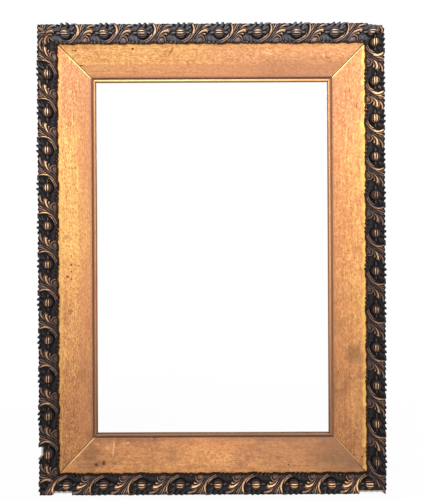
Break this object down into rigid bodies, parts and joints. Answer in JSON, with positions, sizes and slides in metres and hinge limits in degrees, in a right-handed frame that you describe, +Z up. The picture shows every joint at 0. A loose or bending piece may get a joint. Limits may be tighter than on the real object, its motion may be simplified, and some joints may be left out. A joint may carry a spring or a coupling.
{
  "type": "picture frame",
  "caption": "Portrait picture frame: dark berry-and-leaf outer moulding, wide canted gilded flat and beaded sight slip, with ring hangers and turn buttons on its back.",
  "frame": {"origin": "centre of the frame on its back plane, against the wall", "axes": "+X to the viewer's right, +Y backwards into the wall, +Z up"},
  "size_m": [0.7056, 0.0685, 0.9596],
  "materials": {
    "pine": "bare, aged",
    "bronzed_ornament": "black-brown patina with rubbed gold on the high points",
    "gilded_oak": "gilded over open grain, worn",
    "gilt_slip": "burnished gilding",
    "iron": "dull, lightly rusted",
    "brass": "tarnished",
    "steel": "dull"
  },
  "bodies": {
    "frame": {"outer_rail_top": "pine", "outer_rail_right": "pine", "outer_rail_bottom": "pine", "outer_rail_left": "pine", "ornament_top": "bronzed_ornament", "ornament_right": "bronzed_ornament", "ornament_bottom": "bronzed_ornament", "ornament_left": "bronzed_ornament", "flat_top": "gilded_oak", "flat_right": "gilded_oak", "flat_bottom": "gilded_oak", "flat_left": "gilded_oak", "sight_slip_top": "gilt_slip", "sight_slip_right": "gilt_slip", "sight_slip_bottom": "gilt_slip", "sight_slip_left": "gilt_slip", "corner_block_top_left": "pine", "corner_block_top_right": "pine", "corner_block_bottom_left": "pine", "corner_block_bottom_right": "pine", "mitre_nail_top_left": "iron", "mitre_nail_top_right": "iron", "mitre_nail_right_top": "iron", "mitre_nail_right_bottom": "iron", "mitre_nail_bottom_right": "iron", "mitre_nail_bottom_left": "iron", "mitre_nail_left_bottom": "iron", "mitre_nail_left_top": "iron", "flat_brad_top_left": "iron", "flat_brad_top_right": "iron", "flat_brad_right_top": "iron", "flat_brad_right_bottom": "iron", "flat_brad_bottom_right": "iron", "flat_brad_bottom_left": "iron", "flat_brad_left_bottom": "iron", "flat_brad_left_top": "iron", "hanger_plate_left": "brass", "hanger_plate_right": "brass", "hanger_screw_left_upper": "steel", "hanger_screw_left_lower": "steel", "hanger_screw_right_upper": "steel", "hanger_screw_right_lower": "steel", "turn_button_screw_top": "steel", "turn_button_screw_bottom": "steel", "turn_button_screw_left_upper": "steel", "turn_button_screw_left_lower": "steel", "turn_button_screw_right_upper": "steel", "turn_button_screw_right_lower": "steel"},
    "left_ring": {"hanger_ring_left": "brass"},
    "right_ring": {"hanger_ring_right": "brass"},
    "top_button": {"turn_button_top": "brass"},
    "bottom_button": {"turn_button_bottom": "brass"},
    "left_upper_button": {"turn_button_left_upper": "brass"},
    "left_lower_button": {"turn_button_left_lower": "brass"},
    "right_upper_button": {"turn_button_right_upper": "brass"},
    "right_lower_button": {"turn_button_right_lower": "brass"}
  },
  "joints": [
    {"name": "left_ring_swing", "type": "hinge", "parent": "frame", "child": "left_ring", "pos_m": [-0.3388, 0.00402, 0.25], "axis": [1, 0, 0], "range_deg": [0, 180]},
    {"name": "right_ring_swing", "type": "hinge", "parent": "frame", "child": "right_ring", "pos_m": [0.3388, 0.00402, 0.25], "axis": [1, 0, 0], "range_deg": [0, 180]},
    {"name": "top_button_turn", "type": "hinge", "parent": "frame", "child": "top_button", "pos_m": [0, -0.0077, 0.396], "axis": [0, 1, 0], "continuous": true},
    {"name": "bottom_button_turn", "type": "hinge", "parent": "frame", "child": "bottom_button", "pos_m": [0, -0.0077, -0.396], "axis": [0, 1, 0], "continuous": true},
    {"name": "left_upper_button_turn", "type": "hinge", "parent": "frame", "child": "left_upper_button", "pos_m": [-0.269, -0.0077, 0.19], "axis": [0, 1, 0], "continuous": true},
    {"name": "left_lower_button_turn", "type": "hinge", "parent": "frame", "child": "left_lower_button", "pos_m": [-0.269, -0.0077, -0.19], "axis": [0, 1, 0], "continuous": true},
    {"name": "right_upper_button_turn", "type": "hinge", "parent": "frame", "child": "right_upper_button", "pos_m": [0.269, -0.0077, 0.19], "axis": [0, 1, 0], "continuous": true},
    {"name": "right_lower_button_turn", "type": "hinge", "parent": "frame", "child": "right_lower_button", "pos_m": [0.269, -0.0077, -0.19], "axis": [0, 1, 0], "continuous": true}
  ]
}
